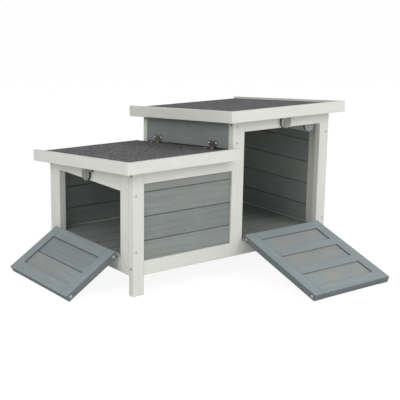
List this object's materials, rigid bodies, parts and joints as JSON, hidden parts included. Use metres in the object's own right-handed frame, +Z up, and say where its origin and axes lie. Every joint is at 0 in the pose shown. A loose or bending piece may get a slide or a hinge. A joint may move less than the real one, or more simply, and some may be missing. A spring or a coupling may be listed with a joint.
{
  "type": "rabbit hutch",
  "caption": "Framed and boarded timber rabbit hutch, stepped in height, with felted lean-to roofs, a hinged lid over the low cabin and drop-down doors that serve as ramps",
  "frame": {"origin": "middle of the whole hutch on the ground, with both ramps let down", "axes": "+X to the right seen from the front, -Y out of the front, +Z up"},
  "size_m": [0.8182, 0.7112, 0.4328],
  "materials": {
    "white_paint": "softwood under off-white paint, matt",
    "grey_wash": "softwood under a thin grey-blue wash, grain showing",
    "ramp_wash": "softwood under a thin blue-grey wash, worn on the boards",
    "plywood": "bare plywood",
    "roof_felt": "mineral-surfaced roofing felt",
    "bronze": "dark bronze plated steel",
    "zinc": "zinc-plated steel",
    "black_screw": "black phosphated steel"
  },
  "bodies": {
    "hutch": {"back_bottom_rail": "white_paint", "back_left_leg": "white_paint", "back_low_boards": "grey_wash", "back_low_top_rail": "white_paint", "back_middle_post": "white_paint", "back_right_leg": "white_paint", "back_tall_boards": "grey_wash", "back_tall_top_rail": "white_paint", "door_stop_tab": "grey_wash", "face_screws": "zinc", "floor_boards": "grey_wash", "floor_cleats": "white_paint", "front_bottom_rail": "white_paint", "front_left_leg": "white_paint", "front_low_boards": "grey_wash", "front_low_top_rail": "white_paint", "front_middle_post": "white_paint", "front_right_leg": "white_paint", "front_tall_top_rail": "white_paint", "hinge_board": "grey_wash", "hinge_pins": "bronze", "hinge_screws": "zinc", "left_bottom_rail": "white_paint", "left_stiles": "white_paint", "left_top_rail": "white_paint", "lid_hinge_wall_leaves": "bronze", "partition_bottom_rail": "white_paint", "partition_stiles": "white_paint", "partition_top_rail": "white_paint", "pivot_screws": "zinc", "ramp_hinge_frame_leaves": "bronze", "right_boards": "grey_wash", "right_bottom_rail": "white_paint", "right_stiles": "white_paint", "right_top_rail": "white_paint", "sunk_screws": "black_screw", "tall_roof_deck": "plywood", "tall_roof_felt": "roof_felt", "tall_roof_front_fascia": "white_paint", "tall_roof_side_fascias": "white_paint"},
    "lid": {"lid_battens": "white_paint", "lid_deck": "plywood", "lid_felt": "roof_felt", "lid_front_fascia": "white_paint", "lid_hinge_lid_leaves": "bronze", "lid_screws": "zinc", "lid_side_fascia": "white_paint"},
    "left_ramp": {"left_ramp_boards": "ramp_wash", "left_ramp_hinge_leaves": "bronze", "left_ramp_rails": "ramp_wash", "left_ramp_screws": "zinc", "left_ramp_stiles": "ramp_wash"},
    "front_ramp": {"front_ramp_battens": "ramp_wash", "front_ramp_boards": "ramp_wash", "front_ramp_hinge_leaves": "bronze", "front_ramp_rails": "ramp_wash", "front_ramp_screws": "zinc", "front_ramp_stiles": "ramp_wash"},
    "left_button": {"left_turn_button": "grey_wash"},
    "front_button": {"front_turn_button": "grey_wash"}
  },
  "joints": [
    {"name": "lid_hinge", "type": "hinge", "parent": "hutch", "child": "lid", "pos_m": [0.04014, 0.12277, 0.31532], "axis": [0, 0.996, -0.0896], "range_deg": [0, 66]},
    {"name": "left_ramp_hinge", "type": "hinge", "parent": "hutch", "child": "left_ramp", "pos_m": [-0.26086, 0.12523, 0.086], "axis": [0, 1, 0], "range_deg": [0, 122.83]},
    {"name": "front_ramp_hinge", "type": "hinge", "parent": "hutch", "child": "front_ramp", "pos_m": [0.21264, -0.08067, 0.086], "axis": [-1, 0, 0], "range_deg": [0, 108.31]},
    {"name": "left_button_pivot", "type": "hinge", "parent": "hutch", "child": "left_button", "pos_m": [-0.25786, 0.13253, 0.2795], "axis": [1, 0, 0], "range_deg": [0, 90]},
    {"name": "front_button_pivot", "type": "hinge", "parent": "hutch", "child": "front_button", "pos_m": [0.20944, -0.07767, 0.4], "axis": [0, 1, 0], "range_deg": [0, 90]}
  ]
}
